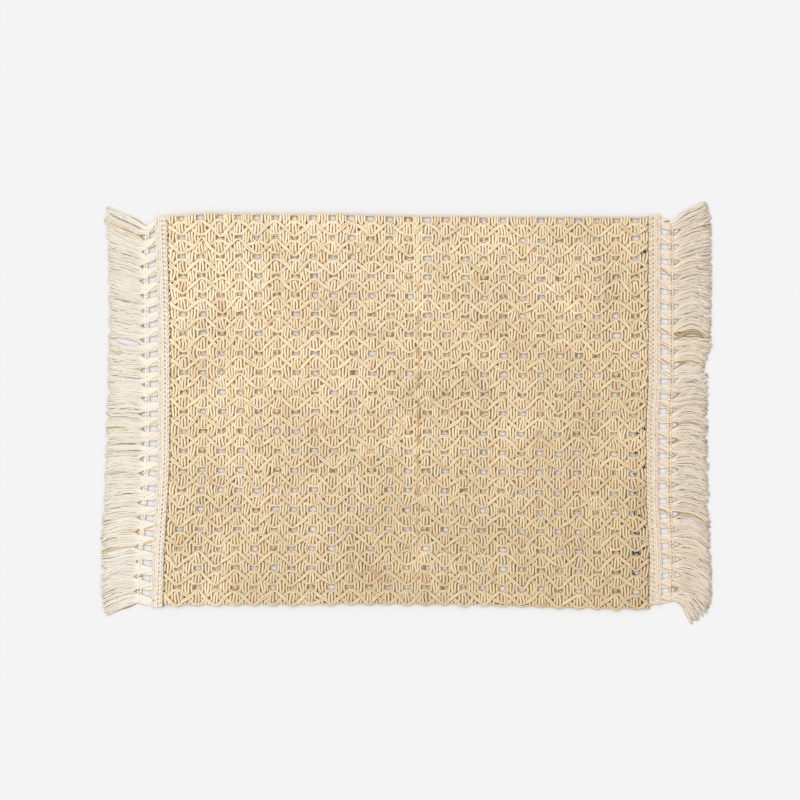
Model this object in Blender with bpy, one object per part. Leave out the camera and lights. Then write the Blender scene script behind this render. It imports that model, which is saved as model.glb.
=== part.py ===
"""A fringed placemat: an openwork woven panel with a knitted fringe trim sewn over each short end.

It lies flat with its long side along X and its face up, and its lowest face is at Z = 0.
Sizes in the tables are millimetres, measured from the middle of the mat, and MM makes them metres.
"""

import bmesh
import bpy
import numpy as np
from mathutils import Matrix, Vector

MM = 0.001
TABLE_EASING = 1 / 60
SHARP_DEGREES = 35
FLAT_DEGREES = 0.2

# The woven panel
PANEL_HEIGHT = 330.0
PANEL_TOP = 3.0
PANEL_EASE = 0.17
LONG_WAVE = (47.0, 39.0)
LONG_WAVE_START = 0.8
SHORT_WAVE = (21.0, -33.0)
SHORT_WAVE_SHARE = 0.5
CREASE_X = 8.4
CREASE_DEPTH = 0.7
CREASE_HALF_WIDTH = 7.0
SCALLOP_PITCH = 15.8
SCALLOP_DEPTH = 1.7
SCALLOP_FIRST_X = -187.0
STEPS_PER_SCALLOP = 4
PANEL_ROWS = 10
LAP_WIDTH = 6.2
LAP_TOP = 0.9
STEP_FOOT = 0.5
STEP_HEAD = 0.9

# Where the trims' tapes end on the panel, as (height up the mat, place across it)
LEFT_SEAM = (
    (-166, -207.2),
    (-117, -205.9),
    (-79, -203.4),
    (-50, -201.7),
    (9, -200.9),
    (94, -201.7),
    (166, -203.8),
)
RIGHT_SEAM = ((-166, 203.4), (-126, 204.2), (-75, 201.3), (-8, 201.3), (26, 203.1), (166, 203.1))

# The panel's long edges, as (place across the mat, height up it)
TOP_EDGE = (
    (-204, 163.9),
    (-171, 166.6),
    (-107, 165.5),
    (-57, 166.0),
    (-14, 164.4),
    (78, 163.4),
    (204, 162.9),
)
BOTTOM_EDGE = ((-207, -162.0), (-62, -163.0), (78, -164.3), (143, -165.3), (204, -165.4))

# A fringe trim, from the panel outwards
TAPE_WIDTH = 9.3
CHAIN_WIDTH = 3.6
GAP = 0.3
TAPE_TOP = 2.7
TAPE_EDGE_TOP = 2.3
CHAIN_INNER_TOP = 2.2
CHAIN_OUTER_TOP = 1.9
BUNDLES = 26
BUNDLE_WIDTH = 7.3
BUNDLE_PITCH = 12.7
STRANDS_PER_BUNDLE = 5
STRAND_JITTER = 0.9
STRAND_SWAY = 0.25
SHORT_STRAND = 3.4
SHORT_EVERY = 7
LEFT_SEED = 3
RIGHT_SEED = 4

# The strand's rings, as (share of its length, share of the fan, width, height)
STRAND_RINGS = ((0.26, 0.12, 1.15, 1.7), (0.66, 0.62, 1.7, 1.6), (1.0, 1.0, 1.5, 1.2))

# Colours, as red, green and blue
STRAW = (0.72, 0.58, 0.36)
CREAM = (0.88, 0.80, 0.69)
WARM_CREAM = (0.80, 0.70, 0.57)
STRAW_ROUGHNESS = 0.8
COTTON_ROUGHNESS = 0.85

# Heights of the tape's two ends, and of the first and last bundle where they leave the tape and
# where the chain holds them
LEFT_BUNDLES = {"ends": (164.2, -165.6), "tape": (155.0, -160.2), "chain": (152.5, -158.2)}
RIGHT_BUNDLES = {"ends": (165.6, -163.1), "tape": (158.7, -159.5), "chain": (156.5, -156.5)}

# How far the chain row's outer edge stands from the tape's inner edge, down the mat, as
# (share of the way down, distance)
LEFT_CHAIN = ((0.0, 17.9), (0.1, 20.4), (0.7, 20.6), (1.0, 21.4))
RIGHT_CHAIN = ((0.0, 19.9), (0.5, 20.4), (1.0, 19.9))

# The fringe's cut tips, as (share of the way down, place across the mat, height up it)
LEFT_TIPS = (
    (0.0, -251.5, 175.0),
    (0.02, -256.5, 167.0),
    (0.06, -254.4, 154.0),
    (0.1, -252.9, 136.0),
    (0.3, -252.4, 67.5),
    (0.5, -254.0, -1.7),
    (0.7, -256.1, -70.0),
    (0.8, -258.4, -103.8),
    (0.94, -259.1, -152.0),
    (0.98, -258.0, -167.5),
    (1.0, -254.4, -175.0),
)
RIGHT_TIPS = (
    (0.0, 250.7, 179.0),
    (0.02, 254.9, 172.0),
    (0.06, 256.6, 156.0),
    (0.2, 256.6, 103.0),
    (0.34, 255.6, 52.0),
    (0.37, 251.0, 44.0),
    (0.39, 249.6, 38.0),
    (0.42, 253.5, 31.0),
    (0.6, 253.0, -33.0),
    (0.8, 254.9, -106.0),
    (0.94, 256.6, -156.0),
    (0.97, 254.5, -167.0),
    (0.985, 247.5, -173.0),
    (1.0, 238.5, -177.0),
)


def clear_scene():
    for obj in list(bpy.data.objects):
        bpy.data.objects.remove(obj, do_unlink=True)


def new_collection(name):
    collection = bpy.data.collections.new(name)
    bpy.context.scene.collection.children.link(collection)
    return collection


def plain_material(name, colour, roughness):
    material = bpy.data.materials.new(name)
    material.use_nodes = True
    shader = material.node_tree.nodes["Principled BSDF"]
    shader.inputs["Base Color"].default_value = (*colour, 1.0)
    shader.inputs["Roughness"].default_value = roughness
    shader.inputs["Metallic"].default_value = 0.0
    return material


def along(table, at, column=1):
    """The table's value at a place, eased between its rows so that no corner shows."""
    rows = np.array(table, float)
    rows = rows[np.argsort(rows[:, 0])]
    spread = (rows[-1, 0] - rows[0, 0]) * TABLE_EASING
    places = at + spread * np.linspace(-1, 1, 5)
    return float(np.interp(places, rows[:, 0], rows[:, column]).mean())


def finish_object(bm, name, material, collection):
    """The mesh's coordinates, in millimetres so far, become a metre-sized object."""
    bmesh.ops.recalc_face_normals(bm, faces=bm.faces)
    bmesh.ops.scale(bm, vec=(MM, MM, MM), verts=bm.verts)
    mesh = bpy.data.meshes.new(name)
    bm.to_mesh(mesh)
    bm.free()
    mesh.materials.append(material)
    mesh.shade_smooth()
    mesh.set_sharp_from_angle(angle=np.radians(SHARP_DEGREES))
    obj = bpy.data.objects.new(name, mesh)
    collection.objects.link(obj)
    return obj


def marked_grid(columns, rows):
    """A flat grid whose points carry their own column, from the left, and row, from the top."""
    bm = bmesh.new()
    bmesh.ops.create_grid(bm, x_segments=columns, y_segments=rows, size=1.0)
    column = bm.verts.layers.int.new("column")
    row = bm.verts.layers.int.new("row")
    bm.faces.layers.int.new("strand")
    for vert in bm.verts:
        vert[column] = round((vert.co.x + 1) / 2 * columns)
        vert[row] = round((1 - vert.co.y) / 2 * rows)
    return bm, column, row


def thicken(bm, top_of, bottom_of):
    """Gives the flat grid its top and underside heights, each a function of a point."""
    extruded = bmesh.ops.extrude_face_region(bm, geom=bm.faces[:])
    lower = [item for item in extruded["geom"] if isinstance(item, bmesh.types.BMVert)]
    moved = set(lower)
    for vert in bm.verts:
        vert.co.z = bottom_of(vert) if vert in moved else top_of(vert)
    return lower


def merge_flat_faces(bm, verts):
    """Joins the faces of a level underside, which needs no grid."""
    chosen = set(verts)
    edges = [edge for edge in bm.edges if set(edge.verts) <= chosen]
    bmesh.ops.dissolve_limit(bm, angle_limit=np.radians(FLAT_DEGREES), verts=verts, edges=edges)


def panel_columns():
    """Places across the panel: its two laps and steps, which follow the seams, and its scallops."""
    count = round((RIGHT_SEAM[0][1] - LEFT_SEAM[0][1]) / SCALLOP_PITCH * STEPS_PER_SCALLOP)
    inner = [("inside", share) for share in np.linspace(0, 1, count + 1)]
    return [("left lap", 0), ("left step", 0), *inner, ("right step", 0), ("right lap", 0)]


def panel_x(place, height):
    left, right = along(LEFT_SEAM, height), along(RIGHT_SEAM, height)
    kind, share = place
    inside = left + STEP_HEAD + (right - left - 2 * STEP_HEAD) * share
    return {
        "left lap": left - LAP_WIDTH,
        "left step": left + STEP_FOOT,
        "inside": inside,
        "right step": right - STEP_FOOT,
        "right lap": right + LAP_WIDTH,
    }[kind]


def scallop(x):
    """How far the bottom edge bulges, from 0 between two yarn groups to the full depth."""
    turn = 2 * np.pi * (x - SCALLOP_FIRST_X) / SCALLOP_PITCH
    return SCALLOP_DEPTH * (0.5 + 0.5 * np.cos(turn))


def panel_surface(x, y):
    """The face's height: nearly level, a little uneven, with one soft fold line down the middle."""
    ease = np.sin(x / LONG_WAVE[0] + LONG_WAVE_START) * np.cos(y / LONG_WAVE[1])
    ease += SHORT_WAVE_SHARE * np.sin(x / SHORT_WAVE[0] + y / SHORT_WAVE[1])
    fold = np.exp(-(((x - CREASE_X) / CREASE_HALF_WIDTH) ** 2))
    return PANEL_TOP + PANEL_EASE * ease - CREASE_DEPTH * fold


def build_panel(collection):
    places = panel_columns()
    bm, column, row = marked_grid(len(places) - 1, PANEL_ROWS)
    for vert in bm.verts:
        place = places[vert[column]]
        share = vert[row] / PANEL_ROWS
        height = PANEL_HEIGHT * (0.5 - share)
        x = panel_x(place, height)
        top, bottom = along(TOP_EDGE, x), along(BOTTOM_EDGE, x)
        if place[0] == "inside":
            bottom -= scallop(x)
        vert.co.x, vert.co.y = x, top + (bottom - top) * share

    def top_of(vert):
        if places[vert[column]][0] != "inside":
            return LAP_TOP
        return panel_surface(vert.co.x, vert.co.y)

    lower = thicken(bm, top_of, lambda vert: 0.0)
    merge_flat_faces(bm, lower)
    yarn = plain_material("straw_yarn", STRAW, STRAW_ROUGHNESS)
    return finish_object(bm, "woven_panel", yarn, collection)


def trim_rows():
    """Rows down a trim, as (bundle, share across the bundle); a gap lies between two bundles."""
    shares = np.linspace(-0.5, 0.5, STRANDS_PER_BUNDLE + 1)
    return [(bundle, share) for bundle in range(BUNDLES) for share in shares]


def strand_tips(tips, seed):
    """Where each strand is cut, in order down the trim, as uneven as scissors leave it."""
    rng = np.random.default_rng(seed)
    count = BUNDLES * STRANDS_PER_BUNDLE
    found = []
    for number in range(count):
        share = (number + 0.5) / count
        x, y = along(tips, share, 1), along(tips, share, 2)
        shorter = rng.uniform(-STRAND_JITTER, STRAND_JITTER)
        if number % SHORT_EVERY == SHORT_EVERY // 2:
            shorter += SHORT_STRAND * rng.random()
        found.append((x - np.sign(x) * shorter, y + rng.uniform(-STRAND_SWAY, STRAND_SWAY)))
    return found


def strand_ring(root, tip, ring):
    """The four corners of a strand at one place, its width along Y and its underside level."""
    share, fan, width, height = ring
    middle = Vector((root[0] + (tip[0] - root[0]) * share, root[1] + (tip[1] - root[1]) * fan))
    across = width / 2
    return {
        (side, level): Vector((middle.x, middle.y + side * across, level * height))
        for side in (-1, 1)
        for level in (0, 1)
    }


def add_strands(bm, roots, tips):
    """Draws each root face out into a strand, ring after ring, from the chain to its cut tip."""
    number = bm.faces.layers.int["strand"]
    for index, face in enumerate(roots):
        face[number] = index + 1
    starts = [face.calc_center_median() for face in roots]
    faces = roots
    for ring in STRAND_RINGS:
        drawn = bmesh.ops.extrude_discrete_faces(bm, faces=faces)
        faces = drawn["faces"]
        for face in faces:
            index = face[number] - 1
            start = starts[index]
            corners = strand_ring((start.x, start.y), tips[index], ring)
            centre = face.calc_center_median()
            for vert in face.verts:
                side = 1 if vert.co.y > centre.y else -1
                level = 1 if vert.co.z > centre.z else 0
                vert.co = corners[side, level]


def build_trim(side, seam, bundles, chain, tips, colour, collection):
    """A trim at the left (side -1) or right (side 1) end, its inner edge on the seam."""
    rows = trim_rows()
    tape_inner, lap_end, tape_outer, chain_inner, chain_outer = range(5)
    bm, column, row = marked_grid(chain_outer, len(rows) - 1)
    ends = dict(zip((rows[0], rows[-1]), bundles["ends"]))

    def place(line, bundle, share):
        down = (bundle + share * BUNDLE_WIDTH / BUNDLE_PITCH) / (BUNDLES - 1)
        heights = {name: first + (last - first) * down for name, (first, last) in bundles.items()}
        heights["tape"] = ends.get((bundle, share), heights["tape"])
        seam_x = along(seam, heights["tape"])
        out = along(chain, min(max(down, 0), 1))
        distance = {
            tape_inner: 0.0,
            lap_end: LAP_WIDTH + 2 * GAP,
            tape_outer: TAPE_WIDTH,
            chain_inner: out - CHAIN_WIDTH,
            chain_outer: out,
        }[line]
        height = heights["tape" if line <= tape_outer else "chain"]
        return seam_x + side * distance, height

    for vert in bm.verts:
        vert.co.x, vert.co.y = place(vert[column], *rows[vert[row]])
    gaps = []
    for face in bm.faces:
        columns = {vert[column] for vert in face.verts}
        bundles_met = {rows[vert[row]][0] for vert in face.verts}
        if columns == {tape_outer, chain_inner} and len(bundles_met) == 2:
            gaps.append(face)
    bmesh.ops.delete(bm, geom=gaps, context="FACES_ONLY")

    tops = (TAPE_EDGE_TOP, TAPE_TOP, TAPE_EDGE_TOP, CHAIN_INNER_TOP, CHAIN_OUTER_TOP)
    lifted = LAP_TOP + GAP
    lower = thicken(
        bm,
        lambda vert: tops[vert[column]],
        lambda vert: lifted if vert[column] <= lap_end else 0.0,
    )
    flat = [vert for vert in lower if lap_end < vert[column] < chain_outer]
    outer_faces = []
    for face in bm.faces:
        if all(vert[column] == chain_outer for vert in face.verts):
            if len({rows[vert[row]][0] for vert in face.verts}) == 1:
                outer_faces.append(face)
    outer_faces.sort(key=lambda face: -face.calc_center_median().y)
    add_strands(bm, outer_faces, tips)
    merge_flat_faces(bm, flat)
    end = "left" if side < 0 else "right"
    cotton = plain_material("cotton_" + end, colour, COTTON_ROUGHNESS)
    return finish_object(bm, "fringe_trim_" + end, cotton, collection)


def centre_on_origin(objects):
    """Moves the meshes so that the middle of the mat's box is over the origin."""
    corners = [vert.co for obj in objects for vert in obj.data.vertices]
    middle = [(max(c[axis] for c in corners) + min(c[axis] for c in corners)) / 2 for axis in (0, 1)]
    for obj in objects:
        obj.data.transform(Matrix.Translation((-middle[0], -middle[1], 0.0)))


def main():
    clear_scene()
    placemat = new_collection("placemat")
    panel = build_panel(placemat)
    left_tips = strand_tips(LEFT_TIPS, LEFT_SEED)
    right_tips = strand_tips(RIGHT_TIPS, RIGHT_SEED)
    left = build_trim(-1, LEFT_SEAM, LEFT_BUNDLES, LEFT_CHAIN, left_tips, CREAM, placemat)
    right = build_trim(1, RIGHT_SEAM, RIGHT_BUNDLES, RIGHT_CHAIN, right_tips, WARM_CREAM, placemat)
    centre_on_origin([panel, left, right])


main()
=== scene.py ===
"""A fringed placemat, woven open like cane, with a knitted cotton fringe trim on each short end.

Every yarn, thread and stitch is a tube carried along a path that a formula gives. The weave is
worked out on a lattice: u counts the columns of ovals from the left and v the rows from the top.
"""

from typing import NamedTuple

import bpy
import numpy as np
from bpy.props import FloatProperty, FloatVectorProperty, IntProperty, PointerProperty
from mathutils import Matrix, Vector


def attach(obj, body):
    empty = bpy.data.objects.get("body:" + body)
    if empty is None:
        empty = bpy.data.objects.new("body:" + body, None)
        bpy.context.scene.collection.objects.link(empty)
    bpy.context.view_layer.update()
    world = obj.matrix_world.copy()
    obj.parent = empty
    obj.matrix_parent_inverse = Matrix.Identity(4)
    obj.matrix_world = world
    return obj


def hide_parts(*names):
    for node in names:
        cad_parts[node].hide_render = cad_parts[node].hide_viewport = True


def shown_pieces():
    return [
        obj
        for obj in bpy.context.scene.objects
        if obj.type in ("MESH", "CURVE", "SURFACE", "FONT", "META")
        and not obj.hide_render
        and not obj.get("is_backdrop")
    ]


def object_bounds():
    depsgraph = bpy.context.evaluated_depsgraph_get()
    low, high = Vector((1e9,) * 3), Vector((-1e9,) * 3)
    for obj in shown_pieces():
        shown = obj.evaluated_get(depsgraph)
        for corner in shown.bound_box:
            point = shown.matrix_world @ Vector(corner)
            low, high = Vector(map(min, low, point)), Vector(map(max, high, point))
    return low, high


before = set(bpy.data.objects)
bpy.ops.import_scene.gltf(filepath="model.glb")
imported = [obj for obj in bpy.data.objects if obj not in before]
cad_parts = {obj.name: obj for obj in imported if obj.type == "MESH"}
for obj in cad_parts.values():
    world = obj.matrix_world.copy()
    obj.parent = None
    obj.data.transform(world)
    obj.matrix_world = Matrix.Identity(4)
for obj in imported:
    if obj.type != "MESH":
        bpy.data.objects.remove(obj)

bl_info = {
    "name": "Fringed Placemat",
    "version": (1, 0, 0),
    "blender": (4, 5, 0),
    "location": "View3D > Sidebar > Placemat",
    "description": "Weaves an openwork placemat and its fringe trims over the packed solids",
    "category": "Add Mesh",
}

MM = 0.001
CAD_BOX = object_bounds()
BODY = "root"
STRAW_FINISH = "straw_yarn_finish"
LEFT, RIGHT = -1, 1

# Heights at which the lines of a trim's solid are found, and how far off a point may lie
TAPE_EDGE_LEVEL = 2.3 * MM
CHAIN_LEVEL = 1.9 * MM
TIP_LEVEL = 1.2 * MM
LEVEL_MARGIN = 0.02 * MM

# Across the mat, the tape's inner edge keeps within this reach, and the tips lie further than it
# beyond the chain row
LINE_REACH = 8.0 * MM

# The panel's upper rim: how deep it reaches down the mat, and a level that it lies above
RIM_REACH = 6.0 * MM
RIM_LEVEL = 1.5 * MM

# Bundles of each trim, and strands of a lock in its solid
BUNDLES = 26
STRANDS = 5

# The tubes' sides, the steps for each pitch of the lattice, and the points along other tubes
YARN_SIDES = 5
EDGE_SIDES = 6
STRIP_SIDES = 14
STEPS = 8
LAP_STEPS = 140
STRIP_STEPS = 180
CORD_STEPS = 960
STITCH_STEPS = 5
MARK_STEPS = 4
LADDER_STEPS = 7
FRINGE_STEPS = 13
FLOAT_STEPS = 5


class TrimLook(NamedTuple):
    """What tells one trim from the other, with lengths in millimetres. A column of stitches and a
    mark are laid out as in the tables below."""

    name: str
    node: str
    # Heights up the mat at which the first and the last bundle leave the tape
    bundle_ends: tuple
    # Distance from the seam at which the threads pass the chain row
    chain_out: float
    chain_column: tuple
    chain_warmth: float
    chain_dot: tuple
    chain_dot_pitch: float
    # The dashes along the seam, which are painted shade where the tape meets the panel
    seam_mark: tuple
    # How far above its bundle's middle the dot in the tape lies
    dot_rise: float
    # How far a lock arches, and how far its end droops
    bends: tuple
    # How far the fringe's threads rise over each other, as a share of their full levels
    relief: float
    # The shares of a lock's length between which it fans out
    fan: tuple
    # A thread's width and height, as shares of its plain thickness
    flatness: tuple
    # Where the fringe parts between two locks, as (height up the mat, half the gap)
    partings: tuple


LOOKS = {
    LEFT: TrimLook(
        name="left",
        node="fringe_trim_left",
        bundle_ends=(156.6, -162.3),
        chain_out=19.9,
        chain_column=(18.9, 3.4, 2.2, 0.5, 2.0, 2.4),
        chain_warmth=0.0,
        chain_dot=(18.9, 1.9, 1.4, 0.25, 1.2, -0.1, 1.2),
        chain_dot_pitch=7.3,
        seam_mark=(-0.4, 2.15, 3.0, 0.45, 0.3, 0.45, 0.2),
        dot_rise=1.7,
        bends=(0.6, 0.3),
        relief=0.4,
        fan=(-0.02, 0.27),
        flatness=(1.5, 0.75),
        partings=((57.4, 3.4), (92.0, 1.0), (-29.0, 1.0), (-71.0, 1.2)),
    ),
    RIGHT: TrimLook(
        name="right",
        node="fringe_trim_right",
        bundle_ends=(157.9, -160.3),
        chain_out=20.6,
        chain_column=(19.4, 3.9, 2.2, 0.95, 2.0, 2.0),
        chain_warmth=2.2,
        chain_dot=(19.4, 1.9, 1.4, 0.55, 1.2, -0.1, 0.8),
        chain_dot_pitch=3.1,
        seam_mark=(-0.4, 2.15, 3.0, 0.45, 0.3, 0.45, 0.6),
        dot_rise=-0.8,
        bends=(2.2, 2.2),
        relief=0.7,
        fan=(0.04, 0.34),
        flatness=(1.1, 0.85),
        partings=((64.0, 1.4), (24.0, 1.2), (-93.0, 1.4)),
    ),
}

# Distances outwards from the seam: the tape's outer edge, the chain row's usual place, and the
# stretch over which a line turns from following the seam to following the chain row
TAPE_EDGE = 8.6 * MM
CHAIN_REACH = 20.2 * MM
TURNING = (9.0 * MM, 17.0 * MM)

# How far the chain row runs past the middle of the first and last bundle
CHAIN_OVERRUN = 2.4 * MM

# Columns of stitches, as (distance from the seam, width, pitch, level, thickness, rise) in
# millimetres, where the rise is a stitch's length up the mat
TAPE_COLUMNS = (
    (1.7, 2.6, 3.8, 1.95, 1.45, 3.4),
    (5.9, 3.4, 1.9, 1.65, 1.3, 2.1),
    (9.0, 2.2, 1.9, 1.65, 1.25, 2.0),
)

# The flat strip under them, as (distance from the seam, level, half its width, half its height)
TAPE_STRIP = (4.9, 1.55, 4.6, 0.42)

# A trim's marks, as (distance from the seam, level, length, radius) in millimetres, then their lean
# from the seam's line in radians, their darkness and their share of tan
# The inner marks and the tape's dots are painted shade, straw dark in the tape's eyelets, and each bundle's
# dot is a painted shadow in the corner of the gap where the bundle leaves the tape
INNER_MARK = (4.1, 2.2, 1.5, 0.42, 0.6, 0.1, 0.1)
TAPE_DOT = (8.0, 2.25, 0.9, 0.4, 0.3, 0.3, 0.1)
BUNDLE_DOT = (10.3, 1.95, 1.0, 0.42, 0.5, 0.3, 0.3)

# Pitch of the marks along the seam, and how far inside the tape's lower and upper end they and
# those of the inner edge stop
SEAM_MARK_PITCH = 3.9 * MM
SEAM_MARK_ENDS = (2.0 * MM, 1.0 * MM)
INNER_MARK_ENDS = (3.0 * MM, 2.0 * MM)

# How far a bundle's dot lies below its middle, how far a mark's ends sink, and how far marks stray
# up the mat and across it
BUNDLE_DOT_DROP = 2.6 * MM
MARK_SAG = 0.2 * MM
MARK_STRAY = (0.25 * MM, 0.12 * MM)

# How strong the painted shade on the flanks of the tape's and the chain row's stitches is, beside
# that of the threads
TAPE_FLANK_SHADE = 0.5
CHAIN_FLANK_SHADE = 0.6

# Flat cores inside each bundle: their number, half their width and height, how far they rise as a
# share of the threads' levels, and how strong the painted shade on their flanks is beside the
# threads'. Between the threads the cores show this painted shade.
CORES = 6
CORE_WIDTH = 1.9 * MM
CORE_HEIGHT = 0.35 * MM
CORE_RISE = 0.55
CORE_FLANK_SHADE = 1.5

# Levels and rises of the threads in the ladder and in the fringe, in millimetres
LADDER_LEVEL = 1.0
LADDER_SWING = 0.45
FRINGE_LEVEL = 0.85
CROWN = 0.55
RIPPLE = 0.1

# How far a bundle swells past its width on each side, how far the longest threads pass the tips,
# the width of a parting's bell in millimetres, and how far below the trim's upper end the droop
# of the locks starts and is full
BUNDLE_SLACK = 0.7 * MM
TIP_SURPLUS = 0.6 * MM
PARTING_WIDTH = 4.5
DROOP_REACH = (6.0 * MM, 26.0 * MM)

# Nearly black spots in the last column's holes and along both seams, as (x, y, length, lean), in
# millimetres and in degrees from the long side, and their (level, radius, darkness, share of tan)
DARK_SPOTS = (
    (200.8, 133.4, 3.4, 55), (200.9, -15.9, 2.6, 90), (195.1, -19.7, 2.6, 5), (193.1, -36.2, 1.8, -10),
    (200.6, -48.2, 2.8, 70), (192.3, -54.0, 2.6, -30), (192.8, -70.0, 2.2, 20), (192.3, -86.9, 3.4, -70),
    (196.5, -88.9, 1.8, 30), (200.9, -99.2, 2.8, 80), (193.0, -103.7, 2.8, -15), (196.2, -104.2, 1.6, 50),
    (200.7, -116.5, 2.4, 75), (191.7, -120.4, 3.0, -75), (194.1, -120.4, 2.6, 50), (196.0, -121.0, 2.8, -70),
    (192.0, -138.4, 2.4, -40), (200.7, -150.2, 2.8, 70), (-196.3, 134.2, 1.2, 70), (-200.5, 146.9, 1.0, 40),
)
DARK_SPOT_LOOK = (3.0, 0.75, 1.2, 0.0)

# Orange brown threads in the first and last bundles, laid out as above
TAN_SPOTS = (
    (219.8, 159.5, 5.0, 5), (226.6, -149.6, 7.2, -8), (-224.1, -140.3, 3.2, 20), (-226.7, -151.9, 3.0, 10),
)
TAN_SPOT_LOOK = (2.5, 0.5, 0.0, 0.25)

# The weave's lattice, in pitches of its columns and rows: its margins, its first and last place
# down the mat, how near to those a pair's path has no other point, and that path's points in a row
COLUMNS = 25
ROWS = 20
LEFT_MARGIN = 0.753
RIGHT_MARGIN = 0.70
EDGE_ROW = -0.66
LAST_END = ROWS - 1 + 0.34
END_GAP = 0.02
PAIR_PHASES = (-0.40, -0.28, -0.21, -0.13, 0.0, 0.13, 0.21, 0.28, 0.40)
NOISE_SIZE = 64

# So many columns would fill the CAD box, which gives a first guess at a column's place
COLUMNS_ACROSS = 33

# The first and last row of ovals, as (place across the mat, height up it) in millimetres
FIRST_ROW = (
    (-191, 154.0), (-127, 154.0), (-62, 153.5), (2, 152.6), (65, 151.6), (128, 151.3), (194, 153.0),
)
LAST_ROW = (
    (-195, -158.2), (-132, -158.0), (-66, -157.6), (-1, -157.6), (63, -158.6), (127, -160.4), (191, -161.8),
)

# How far down between those two a row lies, as (row, share)
ROW_SHARES = ((0, 0.0), (5, 0.2595), (10, 0.5242), (15, 0.7895), (19, 1.0), (20, 1.0532))

# Sideways swing of the columns, and how far the fold line draws in the yarns within its reach
COLUMN_SWING = 0.4 * MM
CREASE_PULL = 1.1 * MM
CREASE_REACH = 4.5 * MM

# Lengths in millimetres that the mat's soft waves take for a radian, then how low it lies at a
# seam, as a share of its thickness, and between which distances inside the seam it rises
EASE_LENGTHS = (47, 39, 21, 33)
SEAM_DIP = 0.26
SEAM_DIP_REACH = (-1.4 * MM, 2.4 * MM)

# Between which phases of a row a tongue's pair dives, spreads apart, and draws together
DIVING = (0.22, 0.31)
SPREADING = (0.29, 0.4)
DRAWING = (0.08, 0.28)

# Floats behind the ovals and between their rows, as (half width, half length in rows), then how
# much of its length a float has, because it is closed before its width is nothing
OVAL_FLOAT = (5.6 * MM, 0.33)
BETWEEN_FLOAT = (4.4 * MM, 0.42)
FLOAT_END = 0.98
FLOAT_HALF_HEIGHT = 0.28 * MM
# How strong the painted shade on the floats' flanks is
FLOAT_FLANK_SHADE = 0.15

# Rises and dips of the yarns beside the levels in the settings
PAIR_UNEVENNESS = 0.16 * MM
GROUND_DIP = 0.5 * MM
MATE_LIFT = 0.3 * MM

# The panel's lap under each tape: distances of its yarns outwards from the seam, its level, half
# a yarn's width and height, their sway and its length for a radian, in millimetres
LAP_YARNS = (-0.9, 0.9, 2.7, 4.5)
LAP_LEVEL = 0.62
LAP_HALVES = (0.9, 0.45)
LAP_SWAY = 0.15
LAP_SWAY_LENGTH = 6.0

# The corded upper edge's level and how far up the mat it lies from the lattice's first place, and
# the looped lower edge's row, level, rise and half its yarn's width and height
CORD_LEVEL = 1.75 * MM
CORD_RISE = 0.2 * MM
LOOP_ROW = 0.35
LOOP_LEVEL = 1.35 * MM
LOOP_LIFT = 0.35 * MM
LOOP_HALVES = (0.78 * MM, 0.62 * MM)

# Painted shade, which makes the straw browner: below this level between the yarns, and in
# patches beside the middle of the fold
DEEP_LEVEL = 1.6 * MM
PATCH_HALF_WIDTH = 2.6 * MM
PATCH_HALF_LENGTH = 125 * MM
PATCH_MIDDLE = -8 * MM

# Depth of the relief in every finish
BUMP_DEPTH = 0.3 * MM

# Half the floor's side and the lamp's place in metres, and the camera's sensor in millimetres
FLOOR_HALF = 3.0
LAMP_PLACE = (-0.9, 0.6, 1.4)
SENSOR_WIDTH = 36.0


def unit(vectors):
    """Vectors divided by their lengths."""
    return vectors / np.linalg.norm(vectors, axis=-1, keepdims=True)


def points_at(x, y, z):
    """Points from their three coordinates, each spread to the shape of all."""
    return np.stack(np.broadcast_arrays(x, y, z), axis=-1)


def smooth_step(low, high, value):
    """0 below low and 1 above high, with the cubic 3s^2 - 2s^3 between them."""
    share = np.clip((value - low) / (high - low), 0.0, 1.0)
    return share * share * (3.0 - 2.0 * share)


def hump(value, centre, width):
    """A bell of height 1: e to the power of minus the squared distance in widths."""
    return np.exp(-(((value - centre) / width) ** 2))


def waves(rng, count, at, turns):
    """A few sines of random phase and strength for each of count yarns, added up along it."""
    total = np.zeros((count, np.shape(at)[-1]))
    for turn in turns:
        phase = rng.uniform(0, 2 * np.pi, (count, 1))
        total += rng.standard_normal((count, 1)) * np.sin(2 * np.pi * turn * at + phase)
    return total / np.sqrt(len(turns))


def lattice_noise(seed, u, v):
    """Random values at every half pitch of the lattice, blended linearly between the points."""
    grid = np.random.default_rng(seed).standard_normal((NOISE_SIZE, NOISE_SIZE))
    column, row = (u + 1.5) * 2, (v + 1.5) * 2
    i, j = np.floor(column).astype(int), np.floor(row).astype(int)
    a, b = column - i, row - j
    upper = grid[i, j] * (1 - a) + grid[i + 1, j] * a
    lower = grid[i, j + 1] * (1 - a) + grid[i + 1, j + 1] * a
    return upper * (1 - b) + lower * b


def node_points(node):
    """The corners of a solid's triangles, once each."""
    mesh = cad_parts[node].data
    found = np.empty(len(mesh.vertices) * 3, np.float32)
    mesh.vertices.foreach_get("co", found)
    return np.unique(np.round(found.reshape(-1, 3).astype(float), 7), axis=0)


def level_points(node, level):
    """The points of a solid at one height, once each, from the mat's top down."""
    points = node_points(node)
    points = points[np.abs(points[:, 2] - level) < LEVEL_MARGIN]
    return points[np.argsort(-points[:, 1], kind="stable")]


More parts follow.
